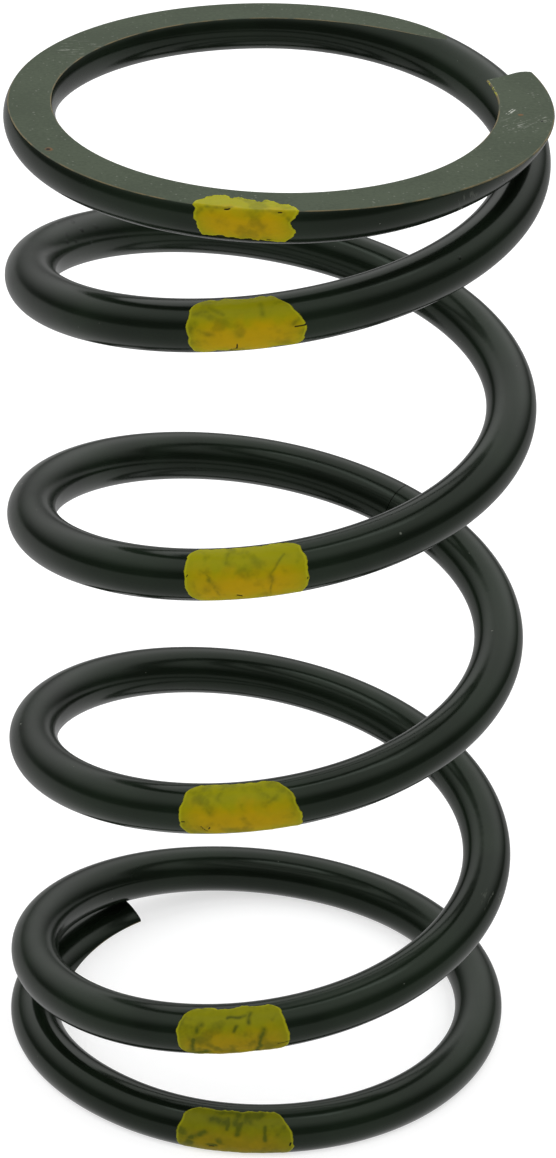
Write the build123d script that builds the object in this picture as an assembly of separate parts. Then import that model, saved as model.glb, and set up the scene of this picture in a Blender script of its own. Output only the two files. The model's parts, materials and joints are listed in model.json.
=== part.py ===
"""Helical compression spring: round wire, right-handed, both ends closed and ground flat.

The spring stands on its lower ground face with the axis on +Z and the origin on the axis in that face.
The wire is cut into arcs. Each cut is a place where the wire twists when the spring is pressed, and the
arcs turn about the wire there. Six painted dabs mark the front of each turn.
"""

import os
from math import ceil, cos, pi, radians, sin

from build123d import *

# ---- driving dimensions, in millimetres and degrees ----
OUTER_DIAMETER = 60.0
WIRE_DIAMETER = 5.7
FREE_LENGTH = 120.0
WINDING = 2048.0  # from tip to tip, 5.69 turns
LOWER_TIP_AZIMUTH = 129.5  # measured from +X towards +Y

# Height of the wire's centre over the lower ground face, and its depth under the upper one.
LOWER_SEAT_HEIGHT = 2.0
UPPER_SEAT_DEPTH = 1.62
LOWER_TIP_HEIGHT = -1.1  # the tips lie beyond the ground faces, so grinding leaves them thin
UPPER_TIP_DEPTH = -1.3
TIP_LEAD = 107.0  # winding over which a tip bends back to the seat height
CLOSED_WINDING = 284.0  # winding of each flat end coil
RISE_WINDING = 112.0  # winding over which the pitch grows from nothing to full

# Cuts in the wire, as winding from the lower tip.
END_COIL_WINDING = 360.0
QUARTER_TURN = 90.0
FIRST_STEP = 54.0
STEPS = 13
CUT_GAP = 0.3  # clear space between neighbouring arcs

# Painted dabs.
DABS = 6
DAB_AZIMUTH = 265.5
DAB_LENGTH = 11.4
DAB_WIDTH = 5.7
DAB_CORNER = 1.7
DAB_TILT = 24.0  # the brush came from the front and above
PAINT_THICKNESS = 0.12
PAINT_CLEARANCE = 0.02

# ---- worked out from them ----
WIRE_RADIUS = WIRE_DIAMETER / 2
COIL_RADIUS = (OUTER_DIAMETER - WIRE_DIAMETER) / 2
FULL_TURN = 360.0
SECTION_STEP = 10.0  # winding between the round sections that the wire passes through
LONGEST_SPAN = 60.0  # winding of one smooth span of wire


def rise(winding):
    """Height gained per unit of full slope, in radians, by a slope that grows smoothly to 1."""
    if winding <= 0:
        return 0.0
    k = QUARTER_TURN / RISE_WINDING
    if winding < RISE_WINDING:
        return (1 - cos(radians(winding * k))) / k
    return 1 / k + radians(winding - RISE_WINDING)


def lead(winding):
    """1 at a tip, falling smoothly to 0 where the wire lies flat."""
    x = min(winding / TIP_LEAD, 1.0)
    return (1 - x) ** 2 * (1 + 2 * x)


# The two halves of the wire meet at mid-winding, which fixes the slope of the open turns.
HALF_RISE = rise(WINDING / 2 - CLOSED_WINDING)
SLOPE = (FREE_LENGTH - LOWER_SEAT_HEIGHT - UPPER_SEAT_DEPTH) / (2 * HALF_RISE)


def offset_from_face(winding, seat, tip):
    """Distance of the wire's centre from the nearer ground face."""
    return seat - (seat - tip) * lead(winding) + SLOPE * rise(winding - CLOSED_WINDING)


def wire_height(winding):
    if winding < WINDING / 2:
        return offset_from_face(winding, LOWER_SEAT_HEIGHT, LOWER_TIP_HEIGHT)
    return FREE_LENGTH - offset_from_face(WINDING - winding, UPPER_SEAT_DEPTH, UPPER_TIP_DEPTH)


def wire_point(winding):
    azimuth = radians(LOWER_TIP_AZIMUTH + winding)
    return Vector(COIL_RADIUS * cos(azimuth), COIL_RADIUS * sin(azimuth), wire_height(winding))


def wire_tangent(winding):
    half_step = 0.05
    return (wire_point(winding + half_step) - wire_point(winding - half_step)).normalized()


def wire_section(winding, radius, seam_side):
    """The wire's round section, square to the wire, with the surface's seam above (1) or below (-1)."""
    along = wire_tangent(winding)
    seam = Vector(0, 0, seam_side)
    plane = Plane(origin=wire_point(winding), x_dir=seam - along * along.dot(seam), z_dir=along)
    return plane * Circle(radius)


def wire_span(start, end, radius, seam_side):
    count = max(round((end - start) / SECTION_STEP), 3)
    step = (end - start) / count
    return loft([wire_section(start + i * step, radius, seam_side) for i in range(count + 1)])


def wire_piece(start, end, radius=WIRE_RADIUS):
    """Round wire from one winding angle to another, with square ends and its seam kept away from the
    nearer ground face."""
    seam_side = 1 if start + end < WINDING else -1
    spans = ceil((end - start) / LONGEST_SPAN)
    step = (end - start) / spans
    piece = wire_span(start, start + step, radius, seam_side)
    for i in range(1, spans):
        piece += wire_span(start + i * step, start + (i + 1) * step, radius, seam_side)
    return piece


def cut_windings():
    """Where the wire is cut: a full turn from each tip, and between them so that equal twists keep
    every arc tilting about the radius through its own middle."""
    first_middle = END_COIL_WINDING + QUARTER_TURN
    last_middle = WINDING - END_COIL_WINDING - QUARTER_TURN
    step = (last_middle - first_middle - FIRST_STEP) / (STEPS - 1)
    cuts = [END_COIL_WINDING, first_middle + FIRST_STEP / 2]
    second_middle = first_middle + FIRST_STEP
    cuts += [second_middle + (i + 0.5) * step for i in range(STEPS - 1)]
    return cuts + [WINDING - END_COIL_WINDING]


def grinding_stock():
    """The slab between the two ground faces, wider than the spring."""
    side = 2 * OUTER_DIAMETER
    return Pos(0, 0, FREE_LENGTH / 2) * Box(side, side, FREE_LENGTH)


def dab(winding):
    """A thin coat on the outer side of the wire, with round corners, centred on a winding angle."""
    reach = DAB_LENGTH / COIL_RADIUS * 180 / pi  # winding of the whole dab, so more than half of it
    inner = WIRE_RADIUS + PAINT_CLEARANCE
    coat = wire_span(winding - reach, winding + reach, inner + PAINT_THICKNESS, -1)
    coat -= wire_span(winding - 1.1 * reach, winding + 1.1 * reach, inner, -1)
    azimuth = radians(LOWER_TIP_AZIMUTH + winding)
    tilt = radians(DAB_TILT)
    brush = Vector(cos(azimuth) * cos(tilt), sin(azimuth) * cos(tilt), sin(tilt))
    stroke_plane = Plane(origin=wire_point(winding), x_dir=wire_tangent(winding), z_dir=brush)
    outline = stroke_plane * RectangleRounded(DAB_LENGTH, DAB_WIDTH, DAB_CORNER)
    return coat & extrude(outline, WIRE_DIAMETER) & grinding_stock()


def main():
    os.makedirs("parts", exist_ok=True)
    half_gap = CUT_GAP / 2 / COIL_RADIUS * 180 / pi
    cuts = cut_windings()
    parts = {}
    parts["bottom_end_coil"] = wire_piece(0, cuts[0] - half_gap) & grinding_stock()
    for i, (start, end) in enumerate(zip(cuts, cuts[1:])):
        parts[f"coil_arc_{i + 1:02d}"] = wire_piece(start + half_gap, end - half_gap)
    parts["top_end_coil"] = wire_piece(cuts[-1] + half_gap, WINDING) & grinding_stock()
    first_dab = DAB_AZIMUTH - LOWER_TIP_AZIMUTH
    for turn in range(DABS):
        parts[f"paint_dab_{turn + 1}"] = dab(first_dab + turn * FULL_TURN)
    for name, shape in parts.items():
        export_step(shape, f"parts/{name}.step")


main()
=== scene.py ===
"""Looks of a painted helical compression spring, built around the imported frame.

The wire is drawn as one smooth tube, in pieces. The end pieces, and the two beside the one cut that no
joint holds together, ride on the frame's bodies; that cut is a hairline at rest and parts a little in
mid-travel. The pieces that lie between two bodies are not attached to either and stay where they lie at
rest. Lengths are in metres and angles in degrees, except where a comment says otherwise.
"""

import json
from math import asin, atan2, ceil, cos, degrees, exp, pi, radians, sin, sqrt

import bpy
import numpy as np
from mathutils import Matrix, Vector, noise

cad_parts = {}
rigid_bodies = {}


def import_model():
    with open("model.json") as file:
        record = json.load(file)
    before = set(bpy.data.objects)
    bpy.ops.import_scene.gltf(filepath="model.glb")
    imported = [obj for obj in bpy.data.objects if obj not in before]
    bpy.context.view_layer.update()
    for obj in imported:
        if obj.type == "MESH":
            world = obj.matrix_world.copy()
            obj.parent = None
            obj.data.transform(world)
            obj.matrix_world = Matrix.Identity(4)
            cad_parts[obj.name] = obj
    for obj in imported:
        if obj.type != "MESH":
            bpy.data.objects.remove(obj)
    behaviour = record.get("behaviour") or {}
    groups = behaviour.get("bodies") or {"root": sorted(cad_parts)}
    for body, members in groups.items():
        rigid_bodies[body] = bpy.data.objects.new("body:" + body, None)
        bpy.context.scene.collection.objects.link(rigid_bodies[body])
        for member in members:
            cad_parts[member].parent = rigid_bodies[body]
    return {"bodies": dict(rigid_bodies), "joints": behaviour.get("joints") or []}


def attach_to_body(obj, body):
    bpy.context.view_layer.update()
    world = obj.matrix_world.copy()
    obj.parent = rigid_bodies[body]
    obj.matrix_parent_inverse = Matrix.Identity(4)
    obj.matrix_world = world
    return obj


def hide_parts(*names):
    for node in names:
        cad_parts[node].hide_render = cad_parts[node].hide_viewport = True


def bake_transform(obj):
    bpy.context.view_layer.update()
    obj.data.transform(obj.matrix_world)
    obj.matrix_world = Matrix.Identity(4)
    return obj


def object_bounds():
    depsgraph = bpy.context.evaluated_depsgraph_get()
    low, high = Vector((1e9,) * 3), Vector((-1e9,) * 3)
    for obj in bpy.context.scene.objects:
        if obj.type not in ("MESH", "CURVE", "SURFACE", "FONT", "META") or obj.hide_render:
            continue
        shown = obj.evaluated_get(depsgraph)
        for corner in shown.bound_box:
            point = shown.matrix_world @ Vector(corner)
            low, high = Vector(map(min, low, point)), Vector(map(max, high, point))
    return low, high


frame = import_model()
cad_low, cad_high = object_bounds()

# ---- the spring, with the same dimensions as its solids ----
MM = 0.001
WIRE_RADIUS = 2.85 * MM
COIL_RADIUS = 27.15 * MM
FREE_LENGTH = cad_high.z
WINDING = 2048.0
LOWER_TIP_AZIMUTH = 129.5
LOWER_SEAT_HEIGHT = 2.0 * MM
UPPER_SEAT_DEPTH = 1.62 * MM
LOWER_TIP_HEIGHT = -1.1 * MM
UPPER_TIP_DEPTH = -1.3 * MM
TIP_LEAD = 107.0
CLOSED_WINDING = 284.0
RISE_WINDING = 112.0
TURN = 360.0
QUARTER_TURN = 90.0

# ---- how finely it is drawn ----
RING_STEP = 1.0
SIDE_POINTS = 64
CORNER_POINTS = 4
FACE_POINTS = 10
CORNER_ROUNDING = 0.14 * MM  # paint softens the edge round a ground face
END_ROUNDING = 0.30 * MM  # and the end of the wire
END_RINGS = 5
SHARP_EDGE = 50.0
MERGE_GRID = 2e7  # points that fall in the same cell of 0.05 micrometres are one

# ---- the tips, which were sheared out of square and widened ----
UPPER_TIP = (1.75 * MM, 0.36, 0.2)  # how far it reaches on, its slant across and its tilt
LOWER_TIP = (1.4 * MM, 0.10, 0.35)
TIP_CORNER = 2.3 * MM
TIP_CORNER_START = 0.6 * MM
TIP_RAMP = 14.0  # winding over which a tip is drawn out of square
INNER_SPREAD = 0.24
OUTER_SPREAD = 0.14
SPREAD_RAMP = (75.0, 15.0)

# ---- how it moves ----
BEND_LEAD = 27.0  # how far the pieces between bodies reach into the flat end coils
OPEN_GAP = 0.09 * MM  # at the one cut that no joint holds together


# ---------------------------------------------------------------- the wire's line
def rise(winding):
    """Height gained per unit of full slope by a slope that grows smoothly to 1, in radians."""
    if winding <= 0:
        return 0.0
    k = QUARTER_TURN / RISE_WINDING
    if winding < RISE_WINDING:
        return (1 - cos(radians(winding * k))) / k
    return 1 / k + radians(winding - RISE_WINDING)


def lead(winding):
    """1 at a tip, falling smoothly to 0 where the wire lies flat."""
    x = min(max(winding, 0) / TIP_LEAD, 1.0)
    return (1 - x) ** 2 * (1 + 2 * x)


HALF_RISE = rise(WINDING / 2 - CLOSED_WINDING)
SLOPE = (FREE_LENGTH - LOWER_SEAT_HEIGHT - UPPER_SEAT_DEPTH) / (2 * HALF_RISE)


def wire_height(winding):
    """Height of the wire's centre."""
    if winding < WINDING / 2:
        seat, tip, inward = LOWER_SEAT_HEIGHT, LOWER_TIP_HEIGHT, winding
    else:
        seat, tip, inward = UPPER_SEAT_DEPTH, UPPER_TIP_DEPTH, WINDING - winding
    offset = seat - (seat - tip) * lead(inward) + SLOPE * rise(inward - CLOSED_WINDING)
    return offset if winding < WINDING / 2 else FREE_LENGTH - offset


def wire_slope(winding):
    """Slope of the wire's line, as an angle in radians."""
    half_step = 0.05
    gain = wire_height(winding + half_step) - wire_height(winding - half_step)
    return atan2(gain, COIL_RADIUS * radians(2 * half_step))


def section(winding):
    """Centre of the wire, and the outward and upward directions across it."""
    azimuth, slope = radians(LOWER_TIP_AZIMUTH + winding), wire_slope(winding)
    outward = Vector((cos(azimuth), sin(azimuth), 0))
    upward = Vector((sin(azimuth) * sin(slope), -cos(azimuth) * sin(slope), cos(slope)))
    return COIL_RADIUS * outward + Vector((0, 0, wire_height(winding))), outward, upward


def ground_reach(winding):
    """How far above the wire's centre the upper ground face cuts it, measured across the wire, and how
    far below its centre the lower one does. At least the wire's radius where the wire is whole."""
    height, slope = wire_height(winding), wire_slope(winding)
    return (FREE_LENGTH - height) / cos(slope), height / cos(slope)


def winding_at(point):
    """The winding angle at which the wire passes through a point of its line."""
    turn = degrees(atan2(point[1], point[0])) - LOWER_TIP_AZIMUTH
    turns = range(ceil(-turn / TURN), int((WINDING - turn) // TURN) + 1)
    return min((turn + TURN * n for n in turns), key=lambda w: abs(wire_height(w) - point[2]))


# ---------------------------------------------------------------- what moves with what
def wire_plan():
    """The wire's pieces in order, as (start, end, body, next body or None). A piece with a next body
    lies between the one and the other. Pieces meet half-way along an arc."""
    arcs = sorted(name for name in frame["bodies"] if name.startswith("coil_arc"))
    bodies = ["bottom_end_coil", *arcs, "top_end_coil"]
    hinges = {frozenset((j["parent"], j["child"])): j for j in frame["joints"] if j["type"] == "hinge"}
    cuts = []
    for pair in zip(bodies, bodies[1:]):
        hinge = hinges.get(frozenset(pair))
        cuts.append(winding_at(hinge["pos_m"]) if hinge else None)
    opened = cuts.index(None)
    cuts[opened] = (cuts[opened - 1] + cuts[opened + 1]) / 2
    gap = degrees(OPEN_GAP / COIL_RADIUS)
    borders = [cuts[0] - BEND_LEAD]
    borders += [(a + b) / 2 for a, b in zip(cuts, cuts[1:])]
    borders += [cuts[-1] + BEND_LEAD]
    plan = [(0.0, borders[0], bodies[0], None)]
    for i, pair in enumerate(zip(bodies, bodies[1:])):
        if i == opened:
            plan.append((borders[i], cuts[i] - gap / 2, pair[0], None))
            plan.append((cuts[i] + gap / 2, borders[i + 1], pair[1], None))
        else:
            plan.append((borders[i], borders[i + 1], *pair))
    plan.append((borders[-1], WINDING, bodies[-1], None))
    return plan


PLAN = wire_plan()


def attach(piece, plan_row):
    """Puts a piece on the body it rides. A piece with a next body is left unattached, where it lies at
    rest.
    """
    start, end, body, next_body = plan_row
    if next_body is None:
        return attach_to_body(piece, body)
    section(start)[0]
    section(end)[0]
    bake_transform(piece)
    return piece


# ---------------------------------------------------------------- meshes
def merge(points, faces):
    """Joins the points that fall together and drops the faces that close up. Gives the indices of the
    points that stay, and each face that stays with its old number."""
    keys, stay, index = {}, [], []
    for i, point in enumerate(points):
        key = tuple(round(c * MERGE_GRID) for c in point)
        if key not in keys:
            keys[key] = len(stay)
            stay.append(i)
        index.append(keys[key])
    kept = []
    for number, face in enumerate(faces):
        ring = [index[v] for v in face]
        ring = [v for k, v in enumerate(ring) if v != ring[k - 1]]
        if len(set(ring)) == len(ring) and len(ring) > 2:
            kept.append((number, ring))
    return stay, kept


def pick(values, indices):
    return [values[i] for i in indices]


def new_piece(name, points, faces, attributes, materials, slots=None, sharp=None):
    """A mesh object in the row frame. Every vertex keeps its place at rest in "rest", which the materials
    read, so that a finish stays put on the wire when it moves."""
    mesh = bpy.data.meshes.new(name)
    mesh.from_pydata([tuple(p) for p in points], [], faces)
    rest = mesh.attributes.new("rest", "FLOAT_VECTOR", "POINT")
    rest.data.foreach_set("vector", np.array([tuple(p) for p in points], np.float32).ravel())
    for key, values in attributes.items():
        layer = mesh.attributes.new(key, "FLOAT", "POINT")
        layer.data.foreach_set("value", np.asarray(values, np.float32))
    for material in materials:
        mesh.materials.append(material)
    if slots is not None:
        mesh.polygons.foreach_set("material_index", slots)
    mesh.polygons.foreach_set("use_smooth", [True] * len(faces))
    mesh.update()
    if sharp is not None:
        mesh.set_sharp_from_angle(angle=radians(sharp))
    piece = bpy.data.objects.new(name, mesh)
    bpy.context.scene.collection.objects.link(piece)
    return piece


def outline(reach, inset):
    """The wire's outline across it, as (across, up) points: round, and cut flat at height reach where
    that is less than the radius. inset draws it smaller all round, for the rounded end."""
    radius = WIRE_RADIUS - inset
    level = min(reach - inset, radius)
    soft = min(CORNER_ROUNDING, radius / 2)
    across = sqrt(max((radius - soft) ** 2 - (level - soft) ** 2, 0.0))
    corner = atan2(level - soft, across)
    points = []
    for i in range(SIDE_POINTS + 1):
        angle = corner - i / SIDE_POINTS * (pi + 2 * corner)
        points.append((radius * cos(angle), radius * sin(angle)))
    for i in range(1, CORNER_POINTS + 1):
        angle = pi - corner + i / CORNER_POINTS * (corner - pi / 2)
        points.append((-across + soft * cos(angle), level - soft + soft * sin(angle)))
    for i in range(1, FACE_POINTS):
        points.append((across * (2 * i / FACE_POINTS - 1), level))
    for i in range(CORNER_POINTS):
        angle = pi / 2 - i / CORNER_POINTS * (pi / 2 - corner)
        points.append((across + soft * cos(angle), level - soft + soft * sin(angle)))
    return points


def ramp(x, low, high):
    """Smoothly from 0 at low to 1 at high. low may be above high."""
    t = min(max((x - low) / (high - low), 0.0), 1.0)
    return t * t * (3 - 2 * t)


def tip_reach(across, up, tip_shape):
    """How far the end of the wire reaches past its nominal winding. The shear that cut it left the outer
    side longer than the inner one, with a round outer corner, and the ground side longer too."""
    middle, slant, tilt = tip_shape
    reach = middle + slant * across + tilt * up
    past = max(across - TIP_CORNER_START, 0.0)
    return reach - TIP_CORNER * (1 - sqrt(max(1 - (past / TIP_CORNER) ** 2, 0.0)))


def ring_windings(start, end, tip):
    """Windings of the rings, and how far each is inset. A tip's last rings round its end off."""
    count = max(ceil((end - start) / RING_STEP), 2)
    rings = [(start + (end - start) * i / count, 0.0) for i in range(count + 1)]
    if tip is None:
        return rings
    soft = degrees(END_ROUNDING / COIL_RADIUS)
    kept = [r for r in rings if abs(r[0] - tip) > 1.5 * soft]
    inward = 1 if tip == start else -1
    rounded = []
    for i in range(END_RINGS + 1):
        turn = pi / 2 * i / END_RINGS
        rounded.append((tip + inward * soft * (1 - sin(turn)), END_ROUNDING * (1 - cos(turn))))
    return rounded[::-1] + kept if tip == start else kept + rounded


PAINT, FACE, EDGE = 0, 1, 2  # material slots of the wire


def ring_points(winding, inset, lower, at_tip):
    """One ring of the wire. Near a tip the wire is widened and its end is drawn out of square."""
    centre, outward, upward = section(winding)
    upper_reach, lower_reach = ground_reach(winding)
    reach, side = (lower_reach, -1) if lower else (upper_reach, 1)
    from_tip = min(winding, WINDING - winding)
    near_tip = ramp(from_tip, TIP_RAMP, 0.0) if at_tip else 0.0
    spread = ramp(from_tip, *SPREAD_RAMP)
    points = []
    for across, up in outline(min(reach, WIRE_RADIUS), inset):
        wide = across * (1 + spread * (OUTER_SPREAD if across > 0 else INNER_SPREAD))
        point = centre + wide * outward + side * up * upward
        if near_tip:
            moved = tip_reach(across, up, LOWER_TIP if lower else UPPER_TIP) * near_tip
            point = Matrix.Rotation(side * moved / COIL_RADIUS, 3, "Z") @ point
        points.append(point)
    return points


def slot_of_side(j):
    """Which finish the j-th side of a ring has: round wire, the edge round the ground face or the ground
    face.
    """
    if j < SIDE_POINTS:
        return PAINT
    face_start = SIDE_POINTS + CORNER_POINTS
    return FACE if face_start <= j < face_start + FACE_POINTS else EDGE


def wire_mesh(start, end):
    """A closed tube between two windings, as points, windings, faces and material slots. A stretch with a
    ground face gets its flat and its edges as faces of their own, which run out to nothing where the wire
    rises clear of the grinding."""
    tip = start if start == 0 else end if end == WINDING else None
    lower = start + end < WINDING
    rings = ring_windings(start, end, tip)
    points, windings, faces, slots = [], [], [], []
    for winding, inset in rings:
        ring = ring_points(winding, inset, lower, tip is not None)
        points += ring
        windings += [winding] * len(ring)
    per_ring = len(ring)
    for i in range(len(rings) - 1):
        for j in range(per_ring):
            a, b = i * per_ring + j, i * per_ring + (j + 1) % per_ring
            quad = (a, a + per_ring, b + per_ring, b)
            faces.append(quad[::-1] if lower else quad)
            slots.append(slot_of_side(j))
    for i, forward in ((0, True), (len(rings) - 1, False)):
        cap = list(range(i * per_ring, (i + 1) * per_ring))
        faces.append(cap if forward != lower else cap[::-1])
        slots.append(PAINT)
    stay, kept = merge(points, faces)
    numbers, faces = zip(*kept)
    return pick(points, stay), pick(windings, stay), faces, pick(slots, numbers)


def make_wire(finishes):
    """All the wire's pieces. finishes are its materials, in the order of their slots."""
    for start, end, body, next_body in PLAN:
        if next_body is None:
            name = f"{body}_wire"
            replaced = body if start == 0 or end == WINDING else None
        else:
            name = f"{body}_to_{next_body}_wire"
            replaced = next_body if end < WINDING / 2 else body
        points, windings, faces, slots = wire_mesh(start, end)
        piece = new_piece(name, points, faces, {}, finishes, slots, SHARP_EDGE)
        attach(piece, (start, end, body, next_body))
        if replaced:
            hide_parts(replaced)


# ---------------------------------------------------------------- paint dabs
DAB_AZIMUTH = 265.6
COAT = 0.09 * MM
COAT_SINK = 0.03 * MM  # how far its underside lies inside the wire
EDGE_SLOPE = 0.22 * MM  # distance from its edge over which it rises to full thickness
RIM_PLACE = 0.20 * MM
RIM_WIDTH = 0.10 * MM
DAB_COLUMNS = 132
DAB_ROWS = 84
ROW_CROWDING = 1.6  # rows lie closer together towards a dab's edges
MOST_UNEVEN = 0.9  # in mm
END_SEED, SIDE_SEED, BLOTCH_SEED, WEAR_SEED, GOLD_SEED, COAT_SEED = 11, 23, 3, 5, 41, 31


def on_wire(winding, around):
    """A point on the painted surface of the wire and the outward normal there. around is the distance
    round the wire from its outermost line, upwards. Past the corner of the upper ground face it runs
    inwards over the flat."""
    centre, outward, upward = section(winding)
    reach = ground_reach(winding)[0]
    if reach < WIRE_RADIUS:
        corner = WIRE_RADIUS * asin(reach / WIRE_RADIUS)
        past = around - corner
        if past > 0:
            across = sqrt(WIRE_RADIUS ** 2 - reach ** 2) - past
            turn = min(past / (3 * COAT), 1.0)
            edge = outward * cos(corner / WIRE_RADIUS) + upward * sin(corner / WIRE_RADIUS)
            normal = edge.lerp(upward, 0.5 + turn / 2).normalized()
            return centre + across * outward + reach * upward, normal
    angle = around / WIRE_RADIUS
    normal = outward * cos(angle) + upward * sin(angle)
    return centre + WIRE_RADIUS * normal, normal


def fractal(x, y, seed, size):
    """Smooth noise over a dab, from about -1 to 1. size is its coarsest spacing."""
    return noise.fractal(Vector((x / size, y / size, seed * 7.31)), 0.9, 2.1, 4)


def stroke_depth(x, y, stroke, spread, core):
    """1 on a stroke's line and 0 beyond its width times spread. A stroke is (x, y, angle, length, width),
    in mm. core is the part of the width at full depth, and less than 0 makes the stroke soft and weak."""
    cx, cy, angle, length, width = stroke
    width *= spread
    dx, dy = x / MM - cx, y / MM - cy
    c, s = cos(radians(angle)), sin(radians(angle))
    u, v = dx * c + dy * s, -dx * s + dy * c
    v += 0.2 * noise.noise(Vector((u * 0.9, cx, cy)))
    gap = sqrt(max(abs(u) - length / 2, 0) ** 2 + v * v)
    return 1 - ramp(gap, width * core, width)


def corner_cut(v, side):
    """How far a dab's side draws in, in mm, at v from -1 at its lower edge to 1 at its upper one. side is
    (widest place, slope above it, rounding of the upper corner, cut at the lower corner)."""
    widest, slope, corner, lower = side
    if v > widest:
        t = (v - widest) / (1 - widest)
        return slope * t ** 1.3 + corner * t ** 7
    return lower * ((widest - v) / (1 + widest)) ** 3


def dab_point(u, v, turn, shape):
    """Where a dab's vertex lies, as distances along and round the wire and from the dab's edge. u and v
    run from -1 to 1 along and round the dab."""
    half_length = shape["length"] / 2 * MM
    low, high = shape["low"] * MM, shape["high"] * MM
    half_width = (high - low) / 2
    left, right = (half_length - corner_cut(v, shape[side]) * MM for side in ("left", "right"))
    end, reach = (1, right) if u > 0 else (2, left)
    ragged_end = fractal(end, v * half_width, turn + END_SEED, 1.5 * MM)
    x = u * reach + abs(u) ** 3 * shape["ragged"] * MM * ragged_end
    uneven = fractal(u * half_length, 0, turn + SIDE_SEED, 1.7 * MM)
    uneven *= shape["ragged_top"] if v > 0 else shape["ragged"]
    uneven += shape["hump"] * cos(3.2 * pi * (u + 0.12)) if v > 0 else 0
    y = (low + high) / 2 + v * half_width + v * v * max(min(uneven, MOST_UNEVEN), -MOST_UNEVEN) * MM
    return x, y, min((1 - abs(u)) * half_length, (1 - abs(v)) * half_width)


def dab_paint_at(u, v, x, y, edge, turn, shape):
    """The paint at a vertex: how thin it is, how near the raised rim, how dark a crack or chip is, how
    golden it is, and how high it stands on the wire."""
    crack = max((stroke_depth(x, y, s, 1.0, 0.4) for s in shape["cracks"]), default=0.0)
    faded = max((1.3 * stroke_depth(x, y, s, 1.3, -0.4) for s in shape["thin"]), default=0.0)
    blotch = ramp(fractal(x, y, turn + BLOTCH_SEED, 2.3 * MM), 0.05, 0.7)
    worn = min(faded, 1.0) * (shape["wear"] + 0.35 * fractal(x, y, turn + WEAR_SEED, 0.6 * MM))
    thin = shape["thinness"] + max(0.4 * blotch, worn)
    rim = exp(-(((edge - RIM_PLACE) / RIM_WIDTH) ** 2))
    lower_part = 1 - abs((v + shape["gold"]) / 0.85)
    gold = ramp(lower_part + 0.3 * fractal(x, y, turn + GOLD_SEED, 1.8 * MM), 0.0, 0.9) * (1 - u ** 4)
    coat = COAT * (1 + 0.25 * fractal(x, y, turn + COAT_SEED, 1.4 * MM) + 0.35 * rim - 0.5 * thin)
    height = coat * ramp(edge, 0, EDGE_SLOPE) * (1 - 0.95 * crack)
    height -= COAT_SINK * (1 - ramp(edge, 0, EDGE_SLOPE / 2))
    return thin, rim, crack, gold, height


def shell_faces():
    """The faces of a dab's outer and inner sheets, and the numbers of the outer sheet's border points."""
    across = DAB_COLUMNS + 1
    count = across * (DAB_ROWS + 1)
    faces = []
    for row in range(DAB_ROWS):
        for column in range(DAB_COLUMNS):
            a = row * across + column
            faces.append((a, a + 1, a + across + 1, a + across))
            faces.append((count + a, count + a + across, count + a + across + 1, count + a + 1))
    border = [row * across + column for row in range(DAB_ROWS + 1) for column in range(across)
              if row in (0, DAB_ROWS) or column in (0, DAB_COLUMNS)]
    return faces, border


def make_dab(turn, shape, yellow):
    """One dab of brushed paint: a thin shell on the wire with a ragged, slightly raised rim."""
    winding = DAB_AZIMUTH - LOWER_TIP_AZIMUTH + turn * TURN + shape["shift"]
    outer, inner, windings, paint = [], [], [], []
    for row in range(DAB_ROWS + 1):
        t = 2 * row / DAB_ROWS - 1
        v = (1 if t >= 0 else -1) * (1 - (1 - abs(t)) ** ROW_CROWDING)
        for column in range(DAB_COLUMNS + 1):
            u = 2 * column / DAB_COLUMNS - 1
            x, y, edge = dab_point(u, v, turn, shape)
            *look, height = dab_paint_at(u, v, x, y, edge, turn, shape)
            at = winding + degrees(x / COIL_RADIUS)
            place, normal = on_wire(at, y)
            outer.append(place + normal * height)
            inner.append(place - normal * COAT_SINK)
            windings.append(at)
            paint.append(look)
    faces, border = shell_faces()
    for i in border:
        inner[i] = outer[i]
    stay, kept = merge(outer + inner, faces)
    points = pick(outer + inner, stay)
    source = [i % len(outer) for i in stay]
    looks = zip(*pick(paint, source))
    attributes = dict(zip(("thin", "rim", "dark", "gold"), looks))
    piece = new_piece(f"yellow_dab_{turn + 1}", points, [ring for _, ring in kept], attributes, [yellow])
    plan_row = next(row for row in PLAN if row[0] <= winding < row[1])
    attach(piece, plan_row)
    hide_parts(f"paint_dab_{turn + 1}")


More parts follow.
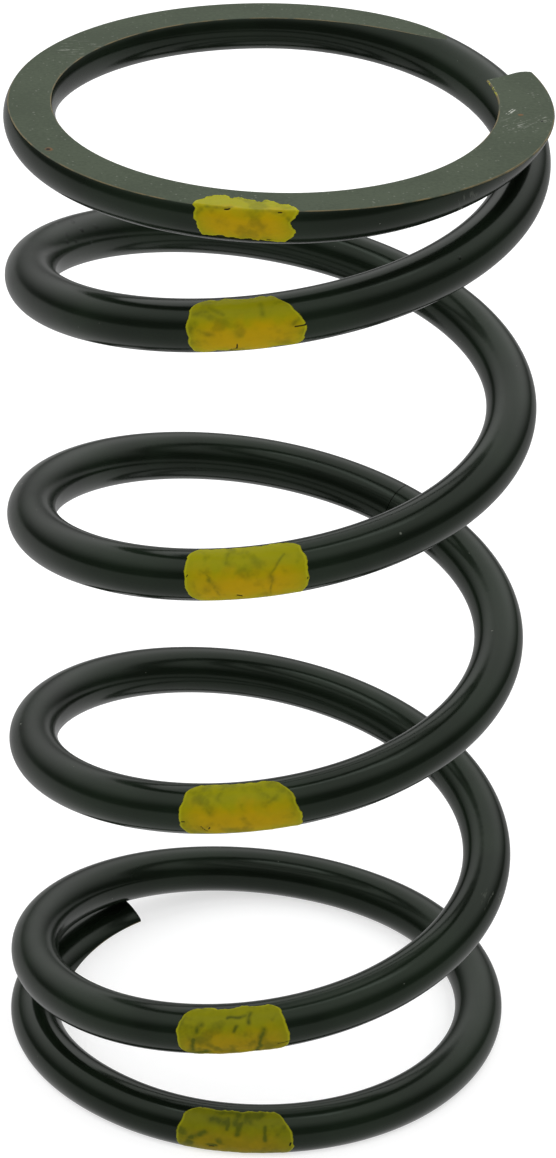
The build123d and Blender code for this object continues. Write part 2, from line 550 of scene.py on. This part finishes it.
def dab_shapes():
    """The six dabs from the bottom up, in mm. low and high are how far they reach down and up round the
    wire, and shift is how far they lie along it, in degrees of winding. left and right are their sides,
    as in corner_cut, and cracks and thin are strokes, as in stroke_depth."""
    usual = {"shift": 0.0, "ragged": 0.25, "ragged_top": 0.3, "hump": 0.0, "gold": 0.4, "thinness": 0.0,
             "wear": 0.45}
    lowest = dict(
        usual, length=12.8, low=-2.05, high=4.0, shift=0.1, gold=0.5, thinness=0.55, wear=0.55,
        left=(-0.35, 1.0, 1.2, 1.0), right=(-0.3, 1.2, 1.0, 0.7), ragged_top=0.4,
        cracks=[(4.5, -1.95, 0, 0.9, 0.16), (5.9, -0.2, 70, 0.35, 0.12), (-2.4, -1.0, 5, 0.5, 0.1)],
        thin=[(-1.8, 2.6, -12, 1.6, 0.7), (0.2, 2.9, 85, 1.2, 0.6), (0.5, 1.7, 80, 1.3, 0.45),
              (3.3, 1.2, 88, 1.5, 0.35), (-2.4, -0.7, 0, 0.9, 0.3), (-4.0, 0.4, 30, 2.0, 0.5),
              (-0.8, 2.2, 80, 1.2, 0.3)],
    )
    second = dict(
        usual, length=12.0, low=-2.4, high=4.4, shift=-0.8, gold=0.5, thinness=0.33, wear=0.68,
        left=(-0.1, 0.8, 1.5, 1.6), right=(-0.1, 0.5, 1.4, 1.2),
        cracks=[(2.4, -1.9, 0, 0.4, 0.1), (5.4, -0.9, 5, 1.6, 0.06)],
        thin=[(3.1, 0.3, 72, 1.9, 0.5), (2.6, -1.4, 60, 1.3, 0.5), (-4.2, -0.4, 80, 1.6, 0.45),
              (-3.9, -1.6, 15, 2.0, 0.7), (0.7, 2.9, 3, 1.9, 0.3), (-3.4, 1.7, 60, 0.9, 0.5),
              (2.1, 2.7, 80, 1.2, 0.35), (0.6, 1.5, 55, 0.7, 0.3)],
    )
    third = dict(
        usual, length=12.6, low=-2.2, high=4.8, gold=0.45, thinness=0.08, wear=0.32,
        left=(-0.35, 0.5, 1.8, 0.6), right=(-0.42, 1.6, 1.1, 0.6),
        cracks=[(-3.4, -0.9, 60, 0.3, 0.09), (-5.9, -0.05, 10, 0.3, 0.09), (-3.9, -1.0, -50, 1.0, 0.06)],
        thin=[(-3.2, 1.3, -40, 0.9, 0.5), (-3.3, -0.6, 35, 1.2, 0.3), (2.6, 3.0, -50, 1.6, 0.7),
              (-1.9, 3.3, 80, 1.6, 0.5), (-5.2, -1.3, 0, 1.6, 0.5), (3.3, 1.9, 20, 1.4, 0.5)],
    )
    fourth = dict(
        usual, length=12.3, low=-2.35, high=4.9, shift=0.05,
        left=(-0.2, 0.3, 1.2, 1.2), right=(0.0, 0.1, 2.0, 1.0),
        cracks=[(-0.8, -1.3, -20, 0.45, 0.13), (-5.7, 1.2, 60, 0.15, 0.09), (6.0, -0.1, 60, 0.1, 0.08)],
        thin=[(-3.2, 0.35, -50, 1.1, 0.45), (-3.0, -0.6, -75, 1.0, 0.35), (2.5, 0.5, 88, 0.8, 0.5),
              (3.3, 1.9, 48, 2.6, 0.22), (2.3, -1.0, 75, 1.6, 0.18), (-3.9, 1.4, -40, 1.4, 0.15),
              (-1.7, 3.2, 85, 1.2, 0.5)],
    )
    fifth = dict(
        usual, length=11.6, low=-2.4, high=4.4, shift=-0.95, gold=0.45,
        left=(-0.35, 0.2, 2.6, 0.3), right=(-0.25, 2.7, 0.5, 1.4),
        cracks=[(-1.2, -1.5, 78, 0.8, 0.09), (-1.7, -2.0, 12, 0.7, 0.08), (5.4, 0.35, 6, 1.5, 0.1)],
        thin=[(-2.8, 2.6, -35, 1.8, 0.35), (-4.4, 2.5, 10, 1.2, 0.5), (1.7, 2.5, -80, 1.2, 0.4),
              (-5.3, 0.6, 60, 1.4, 0.7), (-3.9, 0.3, -20, 1.4, 0.4), (5.0, 0.9, 30, 1.2, 0.4)],
    )
    top = dict(
        usual, length=9.7, low=-1.9, high=4.1, shift=-2.0, gold=0.35,
        left=(0.3, 0.2, 0.6, 1.0), right=(0.45, 0.0, 0.3, 0.8), ragged=0.55, ragged_top=1.2, hump=0.3,
        cracks=[(-1.6, 1.62, 10, 0.5, 0.09), (3.4, 1.5, 0, 0.3, 0.08), (2.4, -1.7, 0, 0.35, 0.08)],
        thin=[(-2.4, 1.7, 8, 2.4, 0.3), (3.0, 1.5, -10, 1.6, 0.35), (-4.6, 0.9, 40, 1.2, 0.4),
              (4.4, 0.4, -60, 1.2, 0.3)],
    )
    return [lowest, second, third, fourth, fifth, top]


# ---------------------------------------------------------------- materials
class Nodes:
    """A short way to write a material's node tree."""

    def __init__(self, name):
        self.material = bpy.data.materials.new(name)
        self.material.use_nodes = True
        self.tree = self.material.node_tree
        self.shader = self.tree.nodes["Principled BSDF"]

    def add(self, kind, **settings):
        node = self.tree.nodes.new(kind)
        for key, value in settings.items():
            if key in node.bl_rna.properties:
                setattr(node, key, value)
            else:
                self.put(value, node.inputs[key.replace("_", " ")])
        return node

    def put(self, value, socket):
        if isinstance(value, bpy.types.NodeSocket):
            self.tree.links.new(value, socket)
        else:
            socket.default_value = value

    def attribute(self, name, output="Fac"):
        return self.add("ShaderNodeAttribute", attribute_name=name).outputs[output]

    def noise(self, scale, detail, vector=None):
        node = self.add("ShaderNodeTexNoise", Scale=scale, Detail=detail)
        self.put(vector or self.attribute("rest", "Vector"), node.inputs["Vector"])
        return node.outputs["Fac"]

    def cells(self, scale, output="Distance"):
        node = self.add("ShaderNodeTexVoronoi", Scale=scale)
        self.put(self.attribute("rest", "Vector"), node.inputs["Vector"])
        return node.outputs[output]

    def math(self, operation, a, b, clamp=False):
        node = self.add("ShaderNodeMath", operation=operation, use_clamp=clamp)
        self.put(a, node.inputs[0])
        self.put(b, node.inputs[1])
        return node.outputs[0]

    def times(self, a, b):
        return self.math("MULTIPLY", a, b)

    def largest(self, *values):
        total = values[0]
        for value in values[1:]:
            total = self.math("MAXIMUM", total, value)
        return total

    def band(self, value, low, high):
        """Smoothly from 0 at low to 1 at high. low may be above high."""
        node = self.add("ShaderNodeMapRange", interpolation_type="SMOOTHSTEP")
        flipped = low > high
        self.put(value, node.inputs["Value"])
        node.inputs["From Min"].default_value = high if flipped else low
        node.inputs["From Max"].default_value = low if flipped else high
        node.inputs["To Min"].default_value = 1.0 if flipped else 0.0
        node.inputs["To Max"].default_value = 0.0 if flipped else 1.0
        return node.outputs["Result"]

    def mix(self, factor, a, b):
        node = self.add("ShaderNodeMix", data_type="RGBA")
        self.put(factor, node.inputs["Factor"])
        self.put(a if isinstance(a, bpy.types.NodeSocket) else (*a, 1), node.inputs["A"])
        self.put(b if isinstance(b, bpy.types.NodeSocket) else (*b, 1), node.inputs["B"])
        return node.outputs["Result"]

    def blend(self, factor, a, b):
        """Between two numbers."""
        node = self.add("ShaderNodeMix", data_type="FLOAT")
        self.put(factor, node.inputs["Factor"])
        self.put(a, node.inputs["A"])
        self.put(b, node.inputs["B"])
        return node.outputs["Result"]

    def bump(self, height, distance, strength, below=None):
        node = self.add("ShaderNodeBump", Strength=strength, Distance=distance)
        self.put(height, node.inputs["Height"])
        if below is not None:
            self.put(below, node.inputs["Normal"])
        return node.outputs["Normal"]

    def set(self, **values):
        for key, value in values.items():
            self.put(value, self.shader.inputs[key.replace("_", " ")])
        return self.material


PAINT_GREEN = (0.0068, 0.0112, 0.0064)
PAINT_DARK = (0.0040, 0.0062, 0.0037)
DUST = (0.19, 0.2, 0.17)
GROUND_GREEN = (0.042, 0.056, 0.033)
GROUND_DARK = (0.032, 0.044, 0.025)
BROWN = (0.115, 0.088, 0.035)
RUST = (0.12, 0.058, 0.018)
CHALK = (0.42, 0.43, 0.38)
BLACK = (0.002, 0.002, 0.002)


def specks(n, scale, size, share):
    """Small round specks: 1 on a speck. share is the part of the cells that has one."""
    distance = n.cells(scale)
    chosen = n.add("ShaderNodeSeparateColor")
    n.put(n.cells(scale, output="Color"), chosen.inputs[0])
    on = n.math("LESS_THAN", chosen.outputs[0], share)
    return n.times(on, n.band(distance, size, size * 0.5))


def place(winding, across, up=None):
    """A point of the wire's surface at rest, for a mark. across and up are in mm, and up is taken on the
    upper ground face where it isn't given."""
    centre, outward, upward = section(winding)
    height = ground_reach(winding)[0] if up is None else up * MM
    return centre + across * MM * outward + height * upward


def zone(n, centre, radius):
    """1 round a point and 0 beyond radius, in mm, with a broken edge."""
    node = n.add("ShaderNodeVectorMath", operation="DISTANCE")
    n.put(n.attribute("rest", "Vector"), node.inputs[0])
    node.inputs[1].default_value = centre
    uneven = n.times(n.math("SUBTRACT", n.noise(700, detail=2), 0.5), 1.4 * radius * MM)
    return n.band(n.math("ADD", node.outputs["Value"], uneven), radius * MM, radius * 0.45 * MM)


def streaks(n, angle, share):
    """Fine scratches that run in one direction over a face, at an angle from +X."""
    turned = n.add("ShaderNodeMapping", vector_type="TEXTURE")
    n.put(n.attribute("rest", "Vector"), turned.inputs["Vector"])
    turned.inputs["Rotation"].default_value = (0, 0, radians(angle))
    turned.inputs["Scale"].default_value = (1 / 420, 1 / 3600, 1 / 420)
    lines = n.noise(1.0, detail=2, vector=turned.outputs["Vector"])
    broken = n.band(n.noise(1700, detail=2), 0.36, 0.55)
    return n.times(n.band(lines, 0.72 - share, 0.80 - share), broken)


def spatter(n):
    """Yellow spatter over the inner edge of the upper tip."""
    drops = n.band(n.noise(1900, detail=2), 0.50, 0.58)
    return n.times(zone(n, place(2043, -3.2), 2.6), drops)


def wire_paint():
    """Glossy near-black green enamel with a faint orange peel, dust specks and a few pits."""
    n = Nodes("wire_enamel")
    tone = n.band(n.noise(90, detail=2), 0.35, 0.68)
    colour = n.mix(tone, PAINT_DARK, PAINT_GREEN)
    dust = n.largest(specks(n, 420, 0.08, 0.05), specks(n, 1300, 0.10, 0.035))
    rubbed = [zone(n, place(1982, 2.4, -1.2), 1.8), zone(n, place(570, 2.6, 0.5), 3.0)]
    scuff = n.times(n.largest(*rubbed), streaks(n, 70, 0.16))
    dust = n.math("ADD", n.times(dust, 0.5), n.times(scuff, 0.22))
    colour = n.mix(dust, colour, DUST)
    pits = specks(n, 260, 0.08, 0.04)
    speckled = n.times(zone(n, place(1466, -2.6, -0.8), 6.0), specks(n, 800, 0.30, 0.5))
    pits = n.largest(pits, speckled)
    colour = n.mix(pits, colour, BLACK)
    colour = n.mix(n.times(spatter(n), 0.7), colour, RIM_YELLOW)
    peel = n.noise(700, detail=1)
    waves = n.noise(160, detail=1)
    surface = n.math("ADD", n.times(peel, 0.25), waves)
    normal = n.bump(surface, 0.05 * MM, 0.5)
    normal = n.bump(n.math("SUBTRACT", dust, n.times(pits, 2.0)), 0.03 * MM, 0.6, normal)
    smear = n.band(n.noise(60, detail=4), 0.3, 0.75)
    roughness = n.math("ADD", n.blend(smear, 0.14, 0.22), n.times(scuff, 0.3))
    return n.set(
        Base_Color=colour, Roughness=roughness, Normal=normal, IOR=1.46,
        Specular_IOR_Level=0.20, Specular_Tint=(0.86, 1.0, 0.84, 1),
    )


def ground_paint():
    """The same enamel on ground steel: thin, dull and lighter, with dust and hairline scratches."""
    n = Nodes("ground_face_enamel")
    tone = n.band(n.blend(0.5, n.noise(140, detail=4), n.noise(2300, detail=1)), 0.38, 0.62)
    colour = n.mix(tone, GROUND_DARK, GROUND_GREEN)
    grains = n.largest(specks(n, 900, 0.17, 0.22), specks(n, 1900, 0.26, 0.26))
    rubbed = n.largest(zone(n, place(2019, -0.6), 2.7), zone(n, place(2024, 1.6), 1.3))
    scratches = n.times(rubbed, streaks(n, 43, 0.15))
    crumbs = n.times(rubbed, specks(n, 2600, 0.30, 0.30))
    flick = n.times(zone(n, place(2027, -1.7), 0.9), streaks(n, 60, 0.21))
    hairline = n.times(zone(n, place(1819, -1.0), 3.2), streaks(n, 8, 0.16))
    marks = n.largest(n.times(grains, 0.45), scratches, n.times(crumbs, 0.7), hairline)
    colour = n.mix(n.times(marks, 0.8), colour, DUST)
    colour = n.mix(n.times(flick, 0.8), colour, CHALK)
    nicks = n.largest(zone(n, place(2025.6, -0.8), 0.40), zone(n, place(1882, 1.2), 0.5))
    colour = n.mix(nicks, colour, RUST)
    chips = n.largest(zone(n, place(2022.7, 1.65), 0.24), zone(n, place(1882, 1.3), 0.32))
    chips = n.largest(chips, specks(n, 190, 0.03, 0.06))
    colour = n.mix(chips, colour, BLACK)
    grain = n.noise(2600, detail=2)
    normal = n.bump(grain, 0.02 * MM, 0.35)
    normal = n.bump(n.math("SUBTRACT", marks, n.largest(chips, nicks)), 0.02 * MM, 0.5, normal)
    return n.set(Base_Color=colour, Roughness=0.5, Normal=normal, IOR=1.46, Specular_IOR_Level=0.1)


def edge_brown_paint():
    """The edge round a ground face, dark green with patches of brown along it."""
    n = Nodes("edge_brown")
    # brown in patches along the edge round the ground face
    worn = n.band(n.noise(420, detail=5), 0.36, 0.60)
    colour = n.mix(worn, GROUND_DARK, BROWN)
    colour = n.mix(spatter(n), colour, RIM_YELLOW)
    return n.set(Base_Color=colour, Roughness=0.4, IOR=1.46, Specular_IOR_Level=0.2)


YELLOW = (0.25, 0.24, 0.004)
GOLD = (0.385, 0.250, 0.003)
OLIVE = (0.075, 0.085, 0.006)
RIM_YELLOW = (0.42, 0.41, 0.012)
INK = (0.004, 0.005, 0.004)


def dab_paint():
    """Glossy yellow marking paint, thin enough that the dark wire shows through in blotches."""
    n = Nodes("yellow_marking_paint")
    mottle = n.noise(900, detail=3)
    base = n.mix(n.attribute("gold"), YELLOW, GOLD)
    uneven = n.times(n.math("SUBTRACT", mottle, 0.5), 0.35)
    thin = n.math("ADD", n.attribute("thin"), uneven, clamp=True)
    colour = n.mix(thin, base, OLIVE)
    rim = n.times(n.attribute("rim"), 0.4)
    colour = n.mix(rim, colour, RIM_YELLOW)
    colour = n.mix(n.band(n.attribute("dark"), 0.2, 0.7), colour, INK)
    normal = n.bump(mottle, 0.03 * MM, 0.4)
    return n.set(Base_Color=colour, Roughness=0.3, Normal=normal, IOR=1.45, Specular_IOR_Level=0.04)


# ---------------------------------------------------------------- studio
FLOOR_REACH = 1.5  # from its middle to each side
FLOOR_TONES = ((0.45, 0.45, 0.45), (0.47, 0.47, 0.47))
FLOOR_GLOW = 0.62
LAMP_PLACE = Vector((0.0, -0.10, 1.0))
LAMP_SIZE = (0.8, 0.16)
LAMP_POWER = 0.9
LAMP_COLOUR = (0.93, 0.97, 1.0)
DOME_TILT = 13.0  # the bright ceiling leans this far to the back
DOME_EDGE = (78.0, 40.0)  # from its middle: where it begins, and where it is at full strength
CEILING = 1.8
SURROUNDINGS = 0.10
BELOW = (1.0, 0.45)  # what the paint mirrors from below, in front of the spring and behind it
BEHIND = (0.3, 0.8)
HORIZON = 0.03
BACKDROP = 1.0


def make_floor():
    """A plain pale floor, wide enough to fill the view. It glows a little, which softens the shadow."""
    mesh = bpy.data.meshes.new("floor")
    corners = [(x * FLOOR_REACH, y * FLOOR_REACH, 0) for x, y in ((-1, -1), (1, -1), (1, 1), (-1, 1))]
    mesh.from_pydata(corners, [], [(0, 1, 2, 3)])
    n = Nodes("floor_paper")
    grain = n.noise(3, detail=1, vector=n.add("ShaderNodeTexCoord").outputs["Object"])
    n.set(Base_Color=n.mix(grain, *FLOOR_TONES), Roughness=0.9)
    n.set(Emission_Color=(1, 1, 1, 1), Emission_Strength=FLOOR_GLOW)
    mesh.materials.append(n.material)
    floor = bpy.data.objects.new("floor", mesh)
    bpy.context.scene.collection.objects.link(floor)
    floor.visible_glossy = False  # the world's lower half stands in for it in reflections


def make_lamp():
    """One long soft lamp overhead."""
    data = bpy.data.lights.new("overhead", "AREA")
    data.shape = "RECTANGLE"
    data.size, data.size_y = LAMP_SIZE
    data.energy = LAMP_POWER
    data.color = LAMP_COLOUR
    lamp = bpy.data.objects.new("overhead", data)
    lamp.location = LAMP_PLACE
    aim = Vector((0, 0, FREE_LENGTH / 2))
    lamp.rotation_euler = (aim - LAMP_PLACE).to_track_quat("-Z", "Y").to_euler()
    bpy.context.scene.collection.objects.link(lamp)


def make_world():
    """A bright soft ceiling over dark surroundings, a pale glow from below, and a white backdrop behind
    everything for the camera alone."""
    world = bpy.data.worlds.new("studio")
    bpy.context.scene.world = world
    world.use_nodes = True
    tree = world.node_tree
    link = tree.links.new

    def steps(value, start, end, interpolation="LINEAR"):
        """Runs from start's second number to end's as value goes from start's first number to end's."""
        node = tree.nodes.new("ShaderNodeMapRange")
        node.interpolation_type = interpolation
        link(value, node.inputs["Value"])
        node.inputs["From Min"].default_value, node.inputs["To Min"].default_value = start
        node.inputs["From Max"].default_value, node.inputs["To Max"].default_value = end
        return node.outputs["Result"]

    def mix(factor, a, b):
        node = tree.nodes.new("ShaderNodeMix")
        link(factor, node.inputs["Factor"])
        link(a, node.inputs["A"])
        if isinstance(b, float):
            node.inputs["B"].default_value = b
        else:
            link(b, node.inputs["B"])
        return node.outputs["Result"]

    direction = tree.nodes.new("ShaderNodeTexCoord").outputs["Generated"]
    height = tree.nodes.new("ShaderNodeVectorMath")
    height.operation = "DOT_PRODUCT"
    link(direction, height.inputs[0])
    height.inputs[1].default_value = (0, sin(radians(DOME_TILT)), cos(radians(DOME_TILT)))
    dome_start, dome_full = (cos(radians(angle)) for angle in DOME_EDGE)
    dome = steps(height.outputs["Value"], (dome_start, SURROUNDINGS), (dome_full, CEILING), "SMOOTHSTEP")
    level = tree.nodes.new("ShaderNodeSeparateXYZ")
    link(direction, level.inputs[0])
    under = steps(level.outputs["Z"], (HORIZON, 0.0), (-HORIZON, 1.0))
    glow = steps(level.outputs["Y"], (BEHIND[0], BELOW[0]), (BEHIND[1], BELOW[1]))
    seen = tree.nodes.new("ShaderNodeLightPath").outputs["Is Camera Ray"]
    strength = mix(seen, mix(under, dome, glow), BACKDROP)
    background = tree.nodes["Background"]
    background.inputs["Color"].default_value = (1, 1, 1, 1)
    link(strength, background.inputs["Strength"])


# ---------------------------------------------------------------- camera
CAMERA_AIM_HEIGHT = 62.34 * MM
CAMERA_DISTANCE = 482.9 * MM
CAMERA_ELEVATION = 28.69
CAMERA_PITCH = -0.19
CAMERA_YAW = -0.15
CAMERA_ROLL = -1.39
LENS = 129.77
SENSOR = 36.0
CLIP = (0.01, 20.0)


def make_camera():
    """The camera looks down at the spring's middle, a little turned and rolled, as a hand-held one is."""
    elevation = radians(CAMERA_ELEVATION)
    forward = Vector((0, cos(elevation), -sin(elevation)))
    right = Vector((1, 0, 0))
    up = right.cross(forward)
    turn = Matrix.Rotation(radians(CAMERA_YAW), 3, up) @ Matrix.Rotation(radians(CAMERA_PITCH), 3, right)
    forward, right, up = turn @ forward, turn @ right, turn @ up
    roll = Matrix.Rotation(radians(CAMERA_ROLL), 3, forward)
    right, up = roll @ right, roll @ up
    data = bpy.data.cameras.new("camera")
    data.lens, data.sensor_width = LENS, SENSOR
    data.clip_start, data.clip_end = CLIP
    camera = bpy.data.objects.new("camera", data)
    aim = Vector((0, 0, CAMERA_AIM_HEIGHT))
    rotation = Matrix((right, up, -forward)).transposed()
    backward = Vector((0, -cos(elevation), sin(elevation)))
    camera.matrix_world = Matrix.Translation(aim + backward * CAMERA_DISTANCE) @ rotation.to_4x4()
    bpy.context.scene.collection.objects.link(camera)
    bpy.context.scene.camera = camera


def main():
    make_wire([wire_paint(), ground_paint(), edge_brown_paint()])
    yellow = dab_paint()
    for turn, shape in enumerate(dab_shapes()):
        make_dab(turn, shape, yellow)
    make_floor()
    make_lamp()
    make_world()
    make_camera()
    bpy.context.scene.view_settings.view_transform = "Standard"


main()
